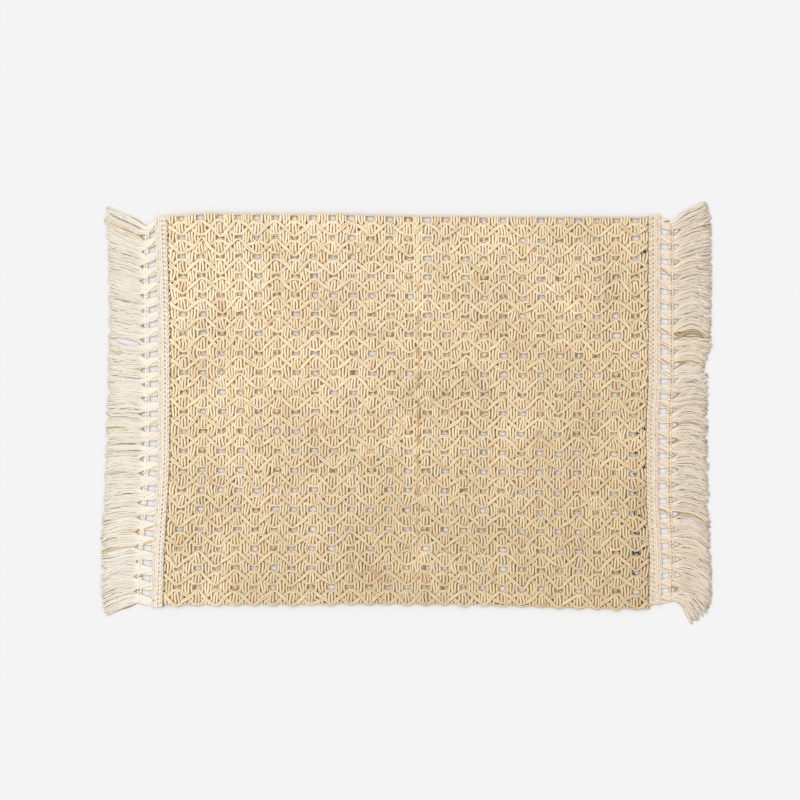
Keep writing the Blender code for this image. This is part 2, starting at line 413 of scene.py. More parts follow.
class Trim:
    """The lines of one trim's solid: its seam, its chain row and its cut tips."""

    def __init__(self, side):
        """The solid's points at three levels give the lines, because each line has its own."""
        self.side = side
        self.look = LOOKS[side]
        node = self.look.node
        level = level_points(node, TAPE_EDGE_LEVEL)
        inner = np.abs(level[:, 0]) < np.abs(level[:, 0]).min() + LINE_REACH
        self.seam = level[inner][::-1]
        self.chain = level_points(node, CHAIN_LEVEL)
        self.chain_up = self.chain[::-1]
        tips = level_points(node, TIP_LEVEL)
        tips = tips[np.abs(tips[:, 0]) > np.abs(self.chain[:, 0]).max() + LINE_REACH]
        if len(self.chain) != BUNDLES * (STRANDS + 1) or len(tips) != BUNDLES * STRANDS * 2:
            raise RuntimeError(f"{node} has other lines than the fringe needs")
        self.tips = tips.reshape(-1, 2, 3).mean(axis=1)
        self.low, self.high = self.seam[0, 1], self.seam[-1, 1]

    def seam_x(self, y):
        """Where the seam lies across the mat, straight between the solid's points."""
        return np.interp(y, self.seam[:, 1], self.seam[:, 0])

    def place(self, y, distance):
        """The place across the mat at a distance outwards from the seam. It follows the seam on
        the tape and the chain row further out."""
        seam, chain = self.seam_x(y), np.interp(y, self.chain_up[:, 1], self.chain_up[:, 0])
        share = smooth_step(*TURNING, distance)
        return seam + self.side * (distance + (np.abs(chain - seam) - CHAIN_REACH) * share)

    def tape_heights(self):
        """The middle of each bundle where it leaves the tape, evenly between the first and last."""
        return np.linspace(*self.look.bundle_ends, BUNDLES) * MM

    def chain_heights(self):
        """The middle of each bundle at the chain row, as the mean of its points there."""
        return self.chain.reshape(BUNDLES, STRANDS + 1, 3)[:, :, 1].mean(axis=1)

    def chain_ends(self):
        """The heights between which the chain row runs, a little past the outer bundles."""
        heights = self.chain_heights()
        return heights.min() - CHAIN_OVERRUN, heights.max() + CHAIN_OVERRUN


TRIMS = {side: Trim(side) for side in (LEFT, RIGHT)}


def panel_top():
    """The points of the solid panel's upper edge, from left to right."""
    points = node_points("woven_panel")
    rim = points[(points[:, 1] > points[:, 1].max() - RIM_REACH) & (points[:, 2] > RIM_LEVEL)]
    return rim[np.argsort(rim[:, 0])]


PANEL_TOP = panel_top()


def table_line(table, at):
    """Straight lines between a table's points in millimetres, read at places across the mat."""
    rows = np.array(table, float) * MM
    return np.interp(at, rows[:, 0], rows[:, 1])


def weave_place(u, v, weave):
    """Where a lattice point lies: v sets its height between the row lines, u its share of the way
    from seam to seam, and slow random drifts move it a little. The fold line draws in the yarns
    beside it by the distance times e to the power of minus its square."""
    u, v = (np.array(a) for a in np.broadcast_arrays(u, v))
    shares = np.array(ROW_SHARES)
    down = np.interp(v, shares[:, 0], shares[:, 1])
    x = (u - (COLUMNS - 1) / 2) * (CAD_BOX[1].x - CAD_BOX[0].x) / COLUMNS_ACROSS
    for _ in range(2):
        first, last = table_line(FIRST_ROW, x), table_line(LAST_ROW, x)
        y = first + (last - first) * down
        top = np.interp(x, PANEL_TOP[:, 0], PANEL_TOP[:, 1])
        y = np.where(v < 0, first + (top - first) * v / EDGE_ROW, y)
        left, right = TRIMS[LEFT].seam_x(y), TRIMS[RIGHT].seam_x(y)
        x = left + (right - left) * (u + LEFT_MARGIN) / (COLUMNS - 1 + LEFT_MARGIN + RIGHT_MARGIN)
    inside = smooth_step(EDGE_ROW, 0.0, v)
    x = x + COLUMN_SWING * np.sin(np.pi * (u - 8) / 4) + weave.wander * lattice_noise(1, u, v)
    y = y + 0.7 * weave.wander * lattice_noise(2, u, v) * inside
    aside = (x - weave.crease_place) / CREASE_REACH
    return x - CREASE_PULL * aside * np.exp(-aside * aside), y


def settle(x, y, z, weave):
    """Scales heights by the mat's soft unevenness, which is two waves of sines, by its fold line,
    which is a bell, and by the dip at each seam, a smooth step."""
    along, across, slant_x, slant_y = (length * MM for length in EASE_LENGTHS)
    ease = np.sin(x / along + 0.8) * np.cos(y / across)
    ease += 0.5 * np.sin(x / slant_x - y / slant_y)
    fold = hump(x, weave.crease_place, weave.crease_width)
    inside = np.minimum(x - TRIMS[LEFT].seam_x(y), TRIMS[RIGHT].seam_x(y) - x)
    dip = SEAM_DIP + (1 - SEAM_DIP) * smooth_step(*SEAM_DIP_REACH, inside)
    return points_at(x, y, z * dip * (1 + 0.07 * ease - weave.crease_depth * fold))


def tube_group(paths, across, up, dye_and_shade, sides=YARN_SIDES):
    """Rings round paths: each point plus across times cosine along the level side, and up times
    sine along the side that looks away from the table. A ring starts at its highest point, and no
    path comes nearer to the table than up."""
    shape = paths.shape[:2]
    height = np.maximum(paths[..., 2], np.broadcast_to(up, shape))
    paths = points_at(paths[..., 0], paths[..., 1], height)
    way = unit(np.gradient(paths, axis=1))
    level = unit(np.cross(way, (0.0, 0.0, 1.0)))
    away = np.cross(level, way)
    turn = np.pi / 2 + 2 * np.pi * np.arange(sides) / sides
    wide = np.broadcast_to(across, shape)[:, :, None, None] * np.cos(turn)[None, None, :, None]
    high = np.broadcast_to(up, shape)[:, :, None, None] * np.sin(turn)[None, None, :, None]
    rings = paths[:, :, None] + wide * level[:, :, None] + high * away[:, :, None]
    steps = np.linalg.norm(np.diff(paths, axis=1), axis=-1)
    length = np.concatenate([np.zeros((shape[0], 1)), np.cumsum(steps, axis=1)], axis=1)
    dye_and_shade = np.stack([np.broadcast_to(part, shape) for part in dye_and_shade], axis=-1)
    return {"rings": rings, "length": length, "dye_and_shade": dye_and_shade}


def joined_tubes(name, groups):
    """One mesh of closed tubes: quads between rings, and one flat face on each end. Its layout
    holds the length along each tube, and the tube's number plus the share of the way round."""
    points, corners, totals, lays, dyes = [], [], [], [], []
    offset = number = 0
    for group in groups:
        rings = group["rings"]
        count, steps, sides = rings.shape[:3]
        index = offset + np.arange(count * steps * sides).reshape(count, steps, sides)
        after = np.roll(index, -1, axis=2)
        quads = np.stack([index[:, :-1], index[:, 1:], after[:, 1:], after[:, :-1]], axis=-1)
        caps = np.stack([index[:, 0], index[:, -1, ::-1]], axis=1)
        length = np.broadcast_to(group["length"][:, :, None], (count, steps, sides))
        turn = number + np.arange(count)[:, None, None] + np.arange(sides) / sides
        turn = np.broadcast_to(turn, (count, steps, sides))
        turned = turn + 1 / sides
        quad_u = np.stack([length[:, :-1], length[:, 1:], length[:, 1:], length[:, :-1]], axis=-1)
        quad_v = np.stack([turn[:, :-1], turn[:, 1:], turned[:, 1:], turned[:, :-1]], axis=-1)
        cap_u = np.stack([length[:, 0], length[:, -1]], axis=1)
        cap_v = np.stack([turn[:, 0], turn[:, -1, ::-1]], axis=1)
        points.append(rings.reshape(-1, 3))
        dyes.append(np.repeat(group["dye_and_shade"], sides, axis=1).reshape(-1, 3))
        corners += [quads.reshape(-1), caps.reshape(-1)]
        totals += [np.full(quads[..., 0].size, 4), np.full(count * 2, sides)]
        lays += [np.stack([quad_u, quad_v], axis=-1).reshape(-1, 2)]
        lays += [np.stack([cap_u, cap_v], axis=-1).reshape(-1, 2)]
        offset += count * steps * sides
        number += count
    points, corners, totals = (np.concatenate(part) for part in (points, corners, totals))
    mesh = bpy.data.meshes.new(name)
    mesh.vertices.add(len(points))
    mesh.vertices.foreach_set("co", points.astype(np.float32).ravel())
    mesh.loops.add(len(corners))
    mesh.loops.foreach_set("vertex_index", corners.astype(np.int32))
    mesh.polygons.add(len(totals))
    starts = np.concatenate([[0], np.cumsum(totals)[:-1]])
    mesh.polygons.foreach_set("loop_start", starts.astype(np.int32))
    mesh.update(calc_edges=True)
    lay = mesh.uv_layers.new(name="yarn")
    lay.uv.foreach_set("vector", np.concatenate(lays).astype(np.float32).ravel())
    dye_and_shade = mesh.attributes.new("dye_and_shade", "FLOAT_VECTOR", "POINT")
    dye_and_shade.data.foreach_set("vector", np.concatenate(dyes).astype(np.float32).ravel())
    mesh.shade_smooth()
    return mesh


def add_piece(name, groups, finish):
    """Joins groups of tubes and puts them into the scene as a piece that rides on the mat."""
    mesh = joined_tubes(name, groups)
    mesh.materials.append(finish)
    piece = bpy.data.objects.new(name, mesh)
    bpy.context.scene.collection.objects.link(piece)
    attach(piece, BODY)
    return piece


class Wire:
    """A socket of a material, on which arithmetic with numbers or other sockets adds Math nodes."""

    def __init__(self, finish, socket):
        self.finish = finish
        self.socket = socket

    def math(self, operation, first, second):
        return self.finish.node("ShaderNodeMath", {"operation": operation}, {0: first, 1: second}, "Value")

    def __add__(self, other):
        return self.math("ADD", self, other)

    def __radd__(self, other):
        return self.math("ADD", other, self)

    def __sub__(self, other):
        return self.math("SUBTRACT", self, other)

    def __rsub__(self, other):
        return self.math("SUBTRACT", other, self)

    def __mul__(self, other):
        return self.math("MULTIPLY", self, other)

    def __rmul__(self, other):
        return self.math("MULTIPLY", other, self)


class Finish:
    """A material under construction, whose nodes all come from one method."""

    def __init__(self, name):
        self.material = bpy.data.materials.new(name)
        self.material.use_nodes = True
        self.tree = self.material.node_tree
        self.tree.nodes.clear()

    def node(self, kind, settings, inputs, result=None):
        """Adds a node, sets its settings, then its sockets, and returns the output asked for."""
        made = self.tree.nodes.new(kind)
        for name, value in settings.items():
            setattr(made, name, value)
        for key, value in inputs.items():
            named = (s for s in made.inputs if s.enabled and s.name == key)
            socket = made.inputs[key] if isinstance(key, int) else next(named)
            if isinstance(value, Wire):
                self.tree.links.new(value.socket, socket)
            else:
                socket.default_value = value
        if result is None:
            return made
        return Wire(self, next(s for s in made.outputs if s.enabled and s.name == result))

    def parts(self, vector):
        return [self.node("ShaderNodeSeparateXYZ", {}, {"Vector": vector}, axis) for axis in "XYZ"]

    def joined(self, x, y, z):
        return self.node("ShaderNodeCombineXYZ", {}, {"X": x, "Y": y, "Z": z}, "Vector")

    def clamped(self, value):
        return self.node("ShaderNodeClamp", {}, {"Value": value}, "Result")

    def sine(self, value):
        return self.node("ShaderNodeMath", {"operation": "SINE"}, {0: value}, "Value")

    def size(self, value):
        return self.node("ShaderNodeMath", {"operation": "ABSOLUTE"}, {0: value}, "Value")

    def noise(self, vector, scale, detail):
        inputs = {"Vector": vector, "Scale": scale, "Detail": detail, "Roughness": 0.6}
        return self.node("ShaderNodeTexNoise", {}, inputs, "Fac")

    def mixed(self, share, first, second):
        """A blend of two colours, which are sockets or three values each."""
        first, second = (part if isinstance(part, Wire) else (*part, 1.0) for part in (first, second))
        inputs = {"Factor": share, "A": first, "B": second}
        return self.node("ShaderNodeMix", {"data_type": "RGBA"}, inputs, "Result")

    def scaled(self, colour, amount):
        inputs = {"Vector": colour, "Scale": amount}
        return self.node("ShaderNodeVectorMath", {"operation": "SCALE"}, inputs, "Vector")

    def tube_lay(self):
        """Length along a tube, turns round it, and how far a point of it looks up, -1 to 1."""
        length, turn, _ = self.parts(self.node("ShaderNodeUVMap", {"uv_map": "yarn"}, {}, "UV"))
        return length, turn, self.sine((turn + 0.25) * (2 * np.pi))

    def dye_and_shade(self):
        """The tube's tone, its warmth and the strength of the painted shade on its flanks, from the mesh's
        attribute.
        """
        return self.parts(self.node("ShaderNodeAttribute", {"attribute_name": "dye_and_shade"}, {}, "Vector"))

    def surface(self, colour, height, bump, settings):
        """The Principled shader with its constant sockets set directly, and a bump behind it."""
        relief = {"Height": height, "Strength": bump, "Distance": BUMP_DEPTH}
        normal = self.node("ShaderNodeBump", {}, relief, "Normal")
        inputs = {"Base Color": colour, "Normal": normal, **settings}
        shader = self.node("ShaderNodeBsdfPrincipled", {}, inputs, "BSDF")
        self.node("ShaderNodeOutputMaterial", {}, {"Surface": shader})
        return self.material


def straw_finish(weave):
    """Straw yarn: fibres run along it with a slow twist, and every oval is dyed a little apart.
    Painted light makes the mat paler towards its upper left, and painted shade makes it browner on
    the yarns' flanks, deep between them and in patches along the fold."""
    finish = Finish(STRAW_FINISH)
    x, y, z = finish.parts(finish.node("ShaderNodeTexCoord", {}, {}, "Object"))
    length, turn, upward = finish.tube_lay()
    tone, warmth, flank_shade = finish.dye_and_shade()
    fibre = finish.noise(finish.joined(length * 150.0, turn * 9.0 + length * 420.0, 0.0), 1.0, 3.0)
    cloud = finish.noise(finish.joined(x, y, 0.0), 16.0, 2.0) - 0.5
    # The x and y terms paint light falling off away from the upper left; tone, fibre and cloud are the
    # yarn's own
    golden = finish.clamped(0.5 + x * 1.3 - y * 1.9 + tone * 0.14 + (fibre - 0.5) * 0.5 - cloud)
    colour = finish.mixed(golden, weave.pale_colour, weave.golden_colour)
    colour = finish.mixed(finish.clamped(warmth * 0.24), colour, weave.rosy_colour)
    colour = finish.mixed(finish.clamped(warmth * -0.2), colour, weave.olive_colour)
    # Painted shade in patches along the fold line's trough, where the mat dips
    fold = finish.clamped(1.2 - finish.size(x - weave.crease_place) * (1 / PATCH_HALF_WIDTH))
    fold = fold * finish.clamped((PATCH_HALF_LENGTH - finish.size(y - PATCH_MIDDLE)) * 25.0)
    crease_shade_patch = finish.clamped(finish.noise(finish.joined(x, y, 0.0), 110.0, 1.0) * 6.0 - 2.6)
    # Painted shade: brown on the yarns' flanks, where touching yarns shade each other
    sides = finish.clamped((weave.flank_shade_start - upward) * 3.6) * flank_shade
    # Painted shade low between the yarns, below DEEP_LEVEL; deep is its share
    deep = finish.clamped((DEEP_LEVEL - z) * (0.8 / MM))
    # brown is the share of all painted shade: on the flanks, low between the yarns and in the fold's patches
    brown = finish.clamped(sides + deep * (0.15 + flank_shade * 0.4) + fold * crease_shade_patch * 0.7)
    colour = finish.mixed(brown, colour, weave.painted_shade_colour)
    # The x and y terms paint light, brighter towards the upper left; the rest is the yarn's own tone
    shade = 0.975 + tone * 0.04 + (fibre - 0.5) * 0.28 + cloud * 0.3
    colour = finish.scaled(colour, shade - x * 0.3 + y * 0.4)
    settings = {"Roughness": 0.62, "Specular IOR Level": 0.3, "Sheen Weight": 0.05}
    return finish.surface(colour, fibre, 0.55, settings)


def cotton_finish(name, pale, shaded, deep):
    """Cotton thread: two plies wind round each other, threads differ a little in tone, and painted
    shade turns their flanks towards the deep tan shade colour between them."""
    finish = Finish(name)
    length, turn, upward = finish.tube_lay()
    tone, warmth, flank_shade = finish.dye_and_shade()
    ply = finish.sine(turn * (4 * np.pi) + length * 5200.0)
    fibre = finish.noise(finish.joined(length * 260.0, turn * 5.0, 0.0), 1.0, 3.0)
    # The shaded colour stands for tan thread and, through the warmth, for the painted shade between locks
    share = finish.clamped(0.28 + warmth * 0.22 + (fibre - 0.5) * 0.8)
    colour = finish.mixed(share, pale, shaded)
    # Painted shade on the threads' flanks, in the deep colour
    sides = finish.clamped(flank_shade * 1.6 - upward * 0.9 - 0.1)
    colour = finish.mixed(sides, colour, deep)
    colour = finish.scaled(colour, 0.99 + tone * 0.03)
    settings = {"Roughness": 0.8, "Specular IOR Level": 0.2, "Sheen Weight": 0.1}
    return finish.surface(colour, ply * 0.35 + fibre, 0.5, settings)


def mark_finish(cotton):
    """Short dark marks, broken up along their fibres: brown to nearly black by the tube's tone, and
    tan by its warmth. Some are stitches of dark thread, and some are painted shade in the seams and
    the tape."""
    finish = Finish("dark_stitch_and_shade_finish")
    length, turn, _ = finish.tube_lay()
    tone, warmth, _ = finish.dye_and_shade()
    fibre = finish.noise(finish.joined(length * 400.0, turn * 3.0, 0.0), 1.0, 3.0)
    share = finish.clamped(tone + (fibre - 0.5) * 0.5)
    colour = finish.mixed(share, cotton.brown_stitch, cotton.black_stitch)
    colour = finish.mixed(finish.clamped(warmth), colour, cotton.tan_stitch)
    settings = {"Roughness": 0.85, "Specular IOR Level": 0.15}
    return finish.surface(colour, fibre, 0.4, settings)


def yarn_dye_and_shade(seed, count, u, v, flank_shade):
    """Tone, warmth and the strength of the painted shade on the flanks for each yarn, drifting from oval to
    oval.
    """
    own = np.random.default_rng(seed).standard_normal((count, 1))
    tone = 0.75 * lattice_noise(seed + 1, u, v) + 0.6 * own
    return tone, lattice_noise(seed + 2, u, v), flank_shade


def pair_group(weave, columns, start, closed, seed):
    """The yarn pairs that show as tongues, in the ovals (start 0) or between their rows (start
    0.5). A pair lies on top for half a row, its end that closed names (-1 for the upper) draws
    together, and under the strands it dives and parts sideways, which leaves the hole open."""
    column = np.repeat(columns, 2)[:, None]
    side = np.tile([-1.0, 1.0], len(columns))[:, None]
    v = (np.arange(-1, ROWS)[:, None] + start + np.array(PAIR_PHASES)).ravel()
    v = np.concatenate([[EDGE_ROW], v[(v > EDGE_ROW + END_GAP) & (v < LAST_END - END_GAP)], [LAST_END]])
    v = v[None, :]
    phase = (v - start + 0.5) % 1.0 - 0.5
    row = v - phase
    shown = 1.0 - smooth_step(*DIVING, np.abs(phase))
    away = 1.0 - smooth_step(*SPREADING, np.abs(phase))
    draw = smooth_step(*DRAWING, phase * closed)
    spread = weave.pair_spread * (1 - weave.closing * draw)
    hidden = weave.hidden_spread * (1.0 - 0.25 * np.abs(lattice_noise(seed + 7, column, v)))
    aside = side * (hidden + (spread - hidden) * away)
    lean = lattice_noise(seed, column, row) * weave.lean
    drift = lattice_noise(seed + 1, column, row) * 0.012
    u = column + aside + (lean * phase + drift) * shown
    x, y = weave_place(u, v, weave)
    z = weave.low_level + (weave.pair_level - weave.low_level) * shown
    z = z + PAIR_UNEVENNESS * lattice_noise(seed + 2, column, row) * shown
    paths = settle(x, y, z, weave)
    across = weave.pair_width / 2 * (1.12 - 0.12 * shown)
    up = weave.pair_width / 2 * (0.66 + 0.34 * shown)
    dye_and_shade = yarn_dye_and_shade(seed + 3, len(column), column, row, weave.pair_flank_shade)
    return tube_group(paths, across, up, dye_and_shade)


def float_group(weave, columns, start, half_width, half_length):
    """The flat floats on the back of the tongues, which close the gaps between their yarns and
    reach into some holes. A float narrows to its ends as the root of 1 - s^4."""
    count = len(columns) * ROWS
    column = np.repeat(columns, ROWS)[:, None]
    row = np.tile(np.arange(ROWS) + start, len(columns))[:, None]
    share = np.linspace(-FLOAT_END, FLOAT_END, FLOAT_STEPS)[None, :]
    reach = half_length * (0.95 + 0.42 * np.abs(lattice_noise(36, column, row)))
    v = np.minimum(row + reach * share, LAST_END - END_GAP * (1 - share))
    x, y = weave_place(column + 0.02 * lattice_noise(37, column, row), v, weave)
    paths = points_at(x, y, weave.float_level)
    across = half_width * (0.88 + 0.35 * np.abs(lattice_noise(38, column, row)))
    dye_and_shade = yarn_dye_and_shade(34, count, column, row, FLOAT_FLANK_SHADE)
    return tube_group(paths, across * np.sqrt(1 - share ** 4), FLOAT_HALF_HEIGHT, dye_and_shade)


def ground_group(weave):
    """The single yarns at the borders of the columns: on top between the rows of ovals, and under
    the strands that cross each other in them."""
    column = (np.arange(COLUMNS * 2 + 2) * 0.5 - 0.75)[:, None]
    v = np.arange(EDGE_ROW, LAST_END, 1 / STEPS)[None, :]
    phase = np.abs((v + 0.5) % 1.0 - 0.5)
    sunk = hump(phase, 0.24, 0.1)
    z = weave.ground_level - (weave.ground_level - weave.low_level) * sunk
    z = z - GROUND_DIP * hump(phase, 0.0, 0.12)
    turned = np.where(np.arange(len(column)) % 2 == 0, -1.0, 1.0)[:, None]
    u = column + 0.036 * turned * np.cos(2 * np.pi * v) + 0.016 * lattice_noise(31, column, v)
    x, y = weave_place(u, v, weave)
    paths = settle(x, y, z, weave)
    across = weave.ground_width / 2
    up = weave.ground_width / 2 * (1.0 - 0.35 * sunk)
    dye_and_shade = yarn_dye_and_shade(40, len(column), column, v, weave.ground_flank_shade)
    return tube_group(paths, across, up, dye_and_shade)


def strand_group(weave, over):
    """One of the two crossing strands of every row, two yarns each. It swings as a cosine from above
    one oval to below the next, and the upper strand (over = 1) passes over at every crossing."""
    row = np.repeat(np.arange(ROWS), 2)[:, None].astype(float)
    mate = np.tile([-1.0, 1.0], ROWS)[:, None]
    u = np.arange(-LEFT_MARGIN + 0.02, COLUMNS - 1 + RIGHT_MARGIN, 1 / STEPS)[None, :]
    crossing = np.sin(np.pi * u) ** 2
    swing = weave.arch_height * (1 + 0.15 * lattice_noise(51 + over, u, row))
    shift = 0.06 * lattice_noise(53 + over, u, row)
    angle = np.pi * (u + shift - 1)
    v = row - over * swing * (np.cos(angle) + over * 0.08 * np.cos(3 * angle))
    v = v + 0.008 * waves(np.random.default_rng(57 + over), len(row), u / COLUMNS, (13, 21, 34))
    x, y = weave_place(u, v, weave)
    z = weave.strand_level + over * weave.crossing_lift * crossing
    z = z + mate * MATE_LIFT * (1 - crossing)
    aside = np.cross(unit(np.gradient(points_at(x, y, 0.0), axis=1)), (0.0, 0.0, 1.0))
    gap = weave.strand_width * (0.24 + 0.16 * crossing + 0.03 * lattice_noise(55 + over, u, row))
    x = x + mate * gap * aside[..., 0]
    y = y + mate * gap * aside[..., 1]
    paths = settle(x, y, z, weave)
    across = weave.strand_width / 2 * (0.8 + 0.2 * crossing)
    up = weave.strand_width / 2 * 0.7
    dye_and_shade = yarn_dye_and_shade(60 + over, len(row), u, row, weave.strand_flank_shade)
    return tube_group(paths, across, up, (dye_and_shade[0] + 0.2, 1.3 * dye_and_shade[1] + 0.2, dye_and_shade[2]))


def lap_group(weave, side):
    """Yarns of the panel's lap, which run along the seam flat under the tape and sway by a sine."""
    trim = TRIMS[side]
    distance = np.array(LAP_YARNS)[:, None] * MM
    y = np.linspace(trim.low + 3 * MM, trim.high - 1 * MM, LAP_STEPS)[None, :]
    sway = LAP_SWAY * MM * np.sin(y / (LAP_SWAY_LENGTH * MM) + distance / MM)
    x = trim.seam_x(y) + side * distance + sway
    paths = points_at(x, y, LAP_LEVEL * MM)
    dye_and_shade = yarn_dye_and_shade(80 + side, len(distance), 12 + 12 * side, 1, 1.0)
    return tube_group(paths, *(half * MM for half in LAP_HALVES), dye_and_shade, EDGE_SIDES)


def edge_groups(weave):
    """The corded upper edge, whose two plies wind round each other, and the looped lower edge, a
    yarn that bulges out under every oval."""
    u = np.linspace(-LEFT_MARGIN - 0.05, COLUMNS - 1 + RIGHT_MARGIN + 0.05, CORD_STEPS)[None, :]
    x, y = weave_place(u, EDGE_ROW, weave)
    length = np.cumsum(np.hypot(np.diff(x, prepend=x[:, :1]), np.diff(y, prepend=y[:, :1])), axis=1)
    turn = np.pi * length / weave.cord_pitch + np.array([[0.0], [np.pi]])
    ply = weave.cord_width / 4
    z = CORD_LEVEL + ply * np.sin(turn)
    paths = settle(x, y + CORD_RISE + ply * np.cos(turn), z, weave)
    dye_and_shade = yarn_dye_and_shade(70, 2, u, 0, 1.15)
    upper = tube_group(paths, ply * 1.05, ply * 1.05, dye_and_shade, EDGE_SIDES)
    u = np.arange(-LEFT_MARGIN - 0.05, COLUMNS - 1 + RIGHT_MARGIN + 0.06, 1 / (2 * STEPS))[None, :]
    last = ROWS - 1
    v = last + LOOP_ROW + 0.055 * np.cos(2 * np.pi * u) + 0.012 * lattice_noise(71, u, 0)
    x, y = weave_place(u, v, weave)
    z = LOOP_LEVEL + LOOP_LIFT * np.cos(2 * np.pi * u)
    paths = settle(x, y, z, weave)
    lower = tube_group(paths, *LOOP_HALVES, yarn_dye_and_shade(72, 1, u, last, 0.6), EDGE_SIDES)
    return [upper, lower]


def stitch_group(seed, trim, ends, sizes, flank_shade, warmth=0.0):
    """A column of knitted stitches between two heights of a trim: two plump slanted legs that meet
    in a V at every pitch. A leg's thickness follows part of a sine."""
    distance, width, pitch, level, thickness, rise = (value * MM for value in sizes)
    rng = np.random.default_rng(seed)
    low, high = ends
    count = int((high - low) / pitch)
    middle = low + (np.arange(count) + 0.5) * (high - low) / count
    middle, leg = np.repeat(middle, 2)[:, None], np.tile([-1.0, 1.0], count)[:, None]
    share = np.linspace(0, 1, STITCH_STEPS)[None, :]
    y = middle + rise * (0.5 - share) + 0.08 * pitch * rng.standard_normal(middle.shape)
    aside = leg * width / 2 * (0.85 - 0.6 * share)
    x = trim.place(y, distance + aside)
    z = level + thickness * 0.5 * np.sin(np.pi * share) * (1 - 0.6 * share)
    paths = points_at(x, y, z)
    radius = thickness / 2 * (0.5 + 0.5 * np.sin(np.pi * (0.1 + 0.8 * share)))
    radius = radius * rng.uniform(0.88, 1.1, middle.shape)
    dye_and_shade = [1.0 + rng.standard_normal(middle.shape), warmth + rng.standard_normal(middle.shape), flank_shade]
    return tube_group(paths, radius, radius, dye_and_shade)


def tape_groups(trim, seed, flank_shade):
    """The knitted heading tape: a flat strip under three columns of stitches."""
    distance, level, across, up = (value * MM for value in TAPE_STRIP)
    y = np.linspace(trim.low, trim.high, STRIP_STEPS)[None, :]
    strip = points_at(trim.place(y, distance), y, level)
    groups = [tube_group(strip, across, up, (0.0, 1.2, flank_shade), STRIP_SIDES)]
    for number, sizes in enumerate(TAPE_COLUMNS):
        groups.append(stitch_group(seed + number, trim, (trim.low, trim.high), sizes, flank_shade))
    return groups


def mark_group(x, y, marks):
    """Short straight stitches at places of the mat, thinner and lower towards their ends by the
    square of the way there. The marks' rows are level, length, radius, lean, darkness and tan."""
    level, length, radius, lean, tone, tan = (np.reshape(row, (-1, 1)) for row in marks)
    share = np.linspace(-1, 1, MARK_STEPS)[None, :]
    along = length / 2 * share
    height = level - MARK_SAG * share ** 2
    x = x[:, None] + np.cos(lean) * along
    y = y[:, None] + np.sin(lean) * along
    thick = radius * (1.05 - 0.6 * share ** 2)
    return tube_group(points_at(x, y, height), thick, thick * 0.8, [tone, tan, 0.0])


def trim_mark_group(trim, seed):
    """Brown marks of a trim: uneven dashes along the seam, a slanted one in every stitch of the
    tape's inner edge, a dot in the tape over each bundle and one where the bundle leaves it, and
    dots along the chain row. The seam's dashes, the slanted marks and the two dots of each bundle
    are painted shade: where tape meets panel, in the tape's eyelets and in the corner of each gap.
    Small random amounts move and change each."""
    rng = np.random.default_rng(seed)
    look = trim.look
    bundles = trim.tape_heights()
    seam_low, seam_high = SEAM_MARK_ENDS
    inner_low, inner_high = INNER_MARK_ENDS
    stitch_pitch = TAPE_COLUMNS[0][2] * MM
    kinds = (
        (np.arange(trim.low + seam_low, trim.high - seam_high, SEAM_MARK_PITCH), look.seam_mark),
        (np.arange(trim.low + inner_low, trim.high - inner_high, stitch_pitch), INNER_MARK),
        (bundles + look.dot_rise * MM, TAPE_DOT),
        (bundles - BUNDLE_DOT_DROP, BUNDLE_DOT),
        (np.arange(*trim.chain_ends(), look.chain_dot_pitch * MM), look.chain_dot),
    )
    y = np.concatenate([heights for heights, _ in kinds])
    number = len(y)
    counts = [len(heights) for heights, _ in kinds]
    columns = np.repeat(np.transpose([mark for _, mark in kinds]), counts, axis=1)
    distance, level, length, radius, lean, tone, tan = columns
    y = y + MARK_STRAY[0] * rng.standard_normal(number)
    distance = distance * MM + MARK_STRAY[1] * rng.standard_normal(number)
    length = length * MM * rng.uniform(0.6, 1.3, number)
    lean = np.pi / 2 + lean * trim.side
    tone = tone + 0.15 * rng.standard_normal(number)
    tan = tan + 0.2 * rng.standard_normal(number)
    return mark_group(trim.place(y, distance), y, (level * MM, length, radius * MM, lean, tone, tan))


def spot_group(table, look):
    """Single stitches at places read from the photo, all of one level, thickness and colour."""
    x, y, length, lean = (np.array(column, float) for column in zip(*table))
    level, radius, tone, tan = look
    marks = (level * MM, length * MM, radius * MM, np.radians(lean), tone, tan)
    return mark_group(x * MM, y * MM, marks)


def ladder_path(trim, cotton, place, bundle, across):
    """The threads from the tape to the chain row, winding round their bundle's middle by the
    cosine and sine of an angle that grows evenly, and their reach from it at the end."""
    share = np.linspace(0, 1, LADDER_STEPS, endpoint=False)[None, :]
    angle = 2 * np.pi * (place + cotton.twist * share)
    half = cotton.bundle_width / 2 + BUNDLE_SLACK - across
    half = half * (0.84 + 0.14 * np.sin(np.pi * share) + 0.1 * share)
    tape_y = trim.tape_heights()[bundle][:, None]
    chain_y = trim.chain_heights()[bundle][:, None]
    middle = tape_y + (chain_y - tape_y) * share
    x = trim.place(middle, TAPE_EDGE + (trim.look.chain_out * MM - TAPE_EDGE) * share)
    y = middle + half * np.cos(angle)
    z = LADDER_LEVEL * MM + LADDER_SWING * MM * np.sin(angle)
    return points_at(x, y, z), half[:, -1:]


